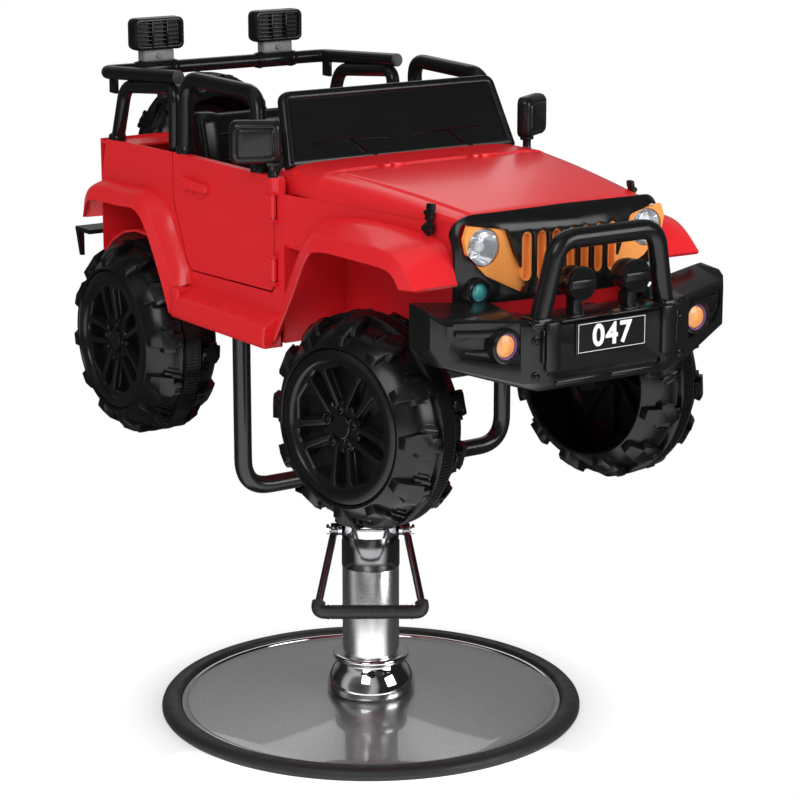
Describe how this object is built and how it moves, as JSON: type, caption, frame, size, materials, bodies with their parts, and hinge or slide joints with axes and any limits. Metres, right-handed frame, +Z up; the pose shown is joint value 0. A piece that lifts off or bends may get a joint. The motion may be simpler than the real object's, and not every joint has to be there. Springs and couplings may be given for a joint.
{
  "type": "kids car barber chair",
  "caption": "Child's barber chair: a red toy off-roader body with opening doors and hood on a hydraulic swivel pump with a round floor base",
  "frame": {"origin": "centre of the base plate's underside, on the floor, on the swivel axis", "axes": "+Z up; the car's front points to -Y; +X is the car's left side"},
  "size_m": [0.7419, 1.2535, 1.182],
  "materials": {
    "satin_steel": "satin",
    "chrome": "polished",
    "black_rubber": "smooth",
    "tyre_rubber": "moulded",
    "red_gloss_plastic": "glossy",
    "orange_plastic": "glossy",
    "clear_lens": "clear",
    "coloured_lens": "dotted",
    "black_painted_steel": "semi-gloss",
    "bronze": "plain",
    "black_plastic": "moulded"
  },
  "bodies": {
    "base": {"base_plate": "satin_steel", "base_ring": "black_rubber", "base_neck": "chrome", "pump_column": "satin_steel", "pump_sleeve": "chrome", "pump_cylinder": "black_painted_steel", "pump_head": "chrome", "pedal_pins": "satin_steel"},
    "pedal": {"pedal_bar": "chrome", "pedal_grip": "black_rubber"},
    "lift": {"lift_ram": "chrome", "thrust_washer": "bronze"},
    "turn": {"turn_plate": "black_painted_steel", "cross_beam": "black_painted_steel", "cradle_tube": "black_painted_steel", "frame_bolts": "satin_steel", "front_axle": "black_painted_steel", "rear_axle": "black_painted_steel", "body_shell": "red_gloss_plastic", "running_boards": "red_gloss_plastic", "fenders_front": "red_gloss_plastic", "fenders_rear": "red_gloss_plastic", "door_pins": "satin_steel", "windshield": "black_plastic", "grille_mask": "black_plastic", "grille_insert": "orange_plastic", "headlights": "clear_lens", "small_lamps": "coloured_lens", "front_bumper": "black_plastic", "number_plate": "black_plastic", "bull_bar": "black_plastic", "driving_lamps": "black_plastic", "hood_latches": "black_plastic", "roll_cage": "black_plastic", "roof_lamps": "black_plastic", "seat": "black_plastic", "dashboard": "black_plastic", "steering_column": "black_painted_steel", "rear_bumper": "black_plastic", "spare_carrier": "black_painted_steel", "spare_wheel": "tyre_rubber"},
    "hood_panel": {"hood": "red_gloss_plastic"},
    "right_door": {"door_right": "red_gloss_plastic", "hoop_right": "black_plastic"},
    "left_door": {"door_left": "red_gloss_plastic", "hoop_left": "black_plastic"},
    "right_mirror": {"mirror_right": "black_plastic"},
    "left_mirror": {"mirror_left": "black_plastic"},
    "steering": {"steering_wheel": "black_plastic"},
    "right_knuckle": {"knuckle_right": "black_painted_steel"},
    "left_knuckle": {"knuckle_left": "black_painted_steel"},
    "track_rod": {"tie_rod": "black_painted_steel"},
    "front_right_wheel": {"tyre_front_right": "tyre_rubber", "rim_front_right": "black_plastic"},
    "front_left_wheel": {"tyre_front_left": "tyre_rubber", "rim_front_left": "black_plastic"},
    "rear_right_wheel": {"tyre_rear_right": "tyre_rubber", "rim_rear_right": "black_plastic"},
    "rear_left_wheel": {"tyre_rear_left": "tyre_rubber", "rim_rear_left": "black_plastic"}
  },
  "joints": [
    {"name": "pedal_press", "type": "hinge", "parent": "base", "child": "pedal", "pos_m": [-0.02684, -0.03979, 0.336], "axis": [0.829, -0.5592, 0], "range_deg": [0, 25], "stiffness_Nm_per_rad": 4, "springref_deg": -28.65},
    {"name": "chair_lift", "type": "slide", "parent": "base", "child": "lift", "axis": [0, 0, 1], "range_m": [0, 0.13]},
    {"name": "chair_turn", "type": "hinge", "parent": "lift", "child": "turn", "pos_m": [0, 0, 0.4], "axis": [0, 0, 1], "continuous": true},
    {"name": "hood_open", "type": "hinge", "parent": "turn", "child": "hood_panel", "pos_m": [0, -0.1965, 1.004], "axis": [-1, 0, 0], "range_deg": [0, 50]},
    {"name": "right_door_open", "type": "hinge", "parent": "turn", "child": "right_door", "pos_m": [-0.255, -0.103, 0.9], "axis": [0, 0, 1], "range_deg": [0, 38]},
    {"name": "left_door_open", "type": "hinge", "parent": "turn", "child": "left_door", "pos_m": [0.255, -0.103, 0.9], "axis": [0, 0, 1], "range_deg": [-38, 0]},
    {"name": "right_mirror_fold", "type": "hinge", "parent": "turn", "child": "right_mirror", "pos_m": [-0.255, -0.103, 1], "axis": [0, 0, 1], "range_deg": [-25, 25]},
    {"name": "left_mirror_fold", "type": "hinge", "parent": "turn", "child": "left_mirror", "pos_m": [0.255, -0.103, 1], "axis": [0, 0, 1], "range_deg": [-25, 25]},
    {"name": "steering_turn", "type": "hinge", "parent": "turn", "child": "steering", "pos_m": [0, 0.002, 0.968], "axis": [0, 0.8829, 0.4695], "range_deg": [-108, 12]},
    {"name": "right_knuckle_turn", "type": "hinge", "parent": "turn", "child": "right_knuckle", "pos_m": [-0.165, -0.357, 0.636], "axis": [0, 0, 1], "range_deg": [-27, 3]},
    {"name": "left_knuckle_turn", "type": "hinge", "parent": "turn", "child": "left_knuckle", "pos_m": [0.165, -0.357, 0.636], "axis": [0, 0, 1], "range_deg": [-27, 3]},
    {"name": "track_rod_shift", "type": "slide", "parent": "turn", "child": "track_rod", "axis": [1, 0, 0], "range_m": [-0.0033, 0.0283]},
    {"name": "front_right_roll", "type": "hinge", "parent": "right_knuckle", "child": "front_right_wheel", "pos_m": [-0.25157, -0.3754, 0.636], "axis": [0.9781, 0.2079, 0], "continuous": true},
    {"name": "front_left_roll", "type": "hinge", "parent": "left_knuckle", "child": "front_left_wheel", "pos_m": [0.25157, -0.3386, 0.636], "axis": [0.9781, 0.2079, 0], "continuous": true},
    {"name": "rear_right_roll", "type": "hinge", "parent": "turn", "child": "rear_right_wheel", "pos_m": [-0.245, 0.353, 0.636], "axis": [1, 0, 0], "continuous": true},
    {"name": "rear_left_roll", "type": "hinge", "parent": "turn", "child": "rear_left_wheel", "pos_m": [0.245, 0.353, 0.636], "axis": [1, 0, 0], "continuous": true}
  ],
  "couplings": [
    {"joint": "right_knuckle_turn", "follows": "steering_turn", "ratio": 0.25},
    {"joint": "left_knuckle_turn", "follows": "steering_turn", "ratio": 0.25},
    {"joint": "track_rod_shift", "follows": "steering_turn", "m_per_rad": -0.014857}
  ]
}
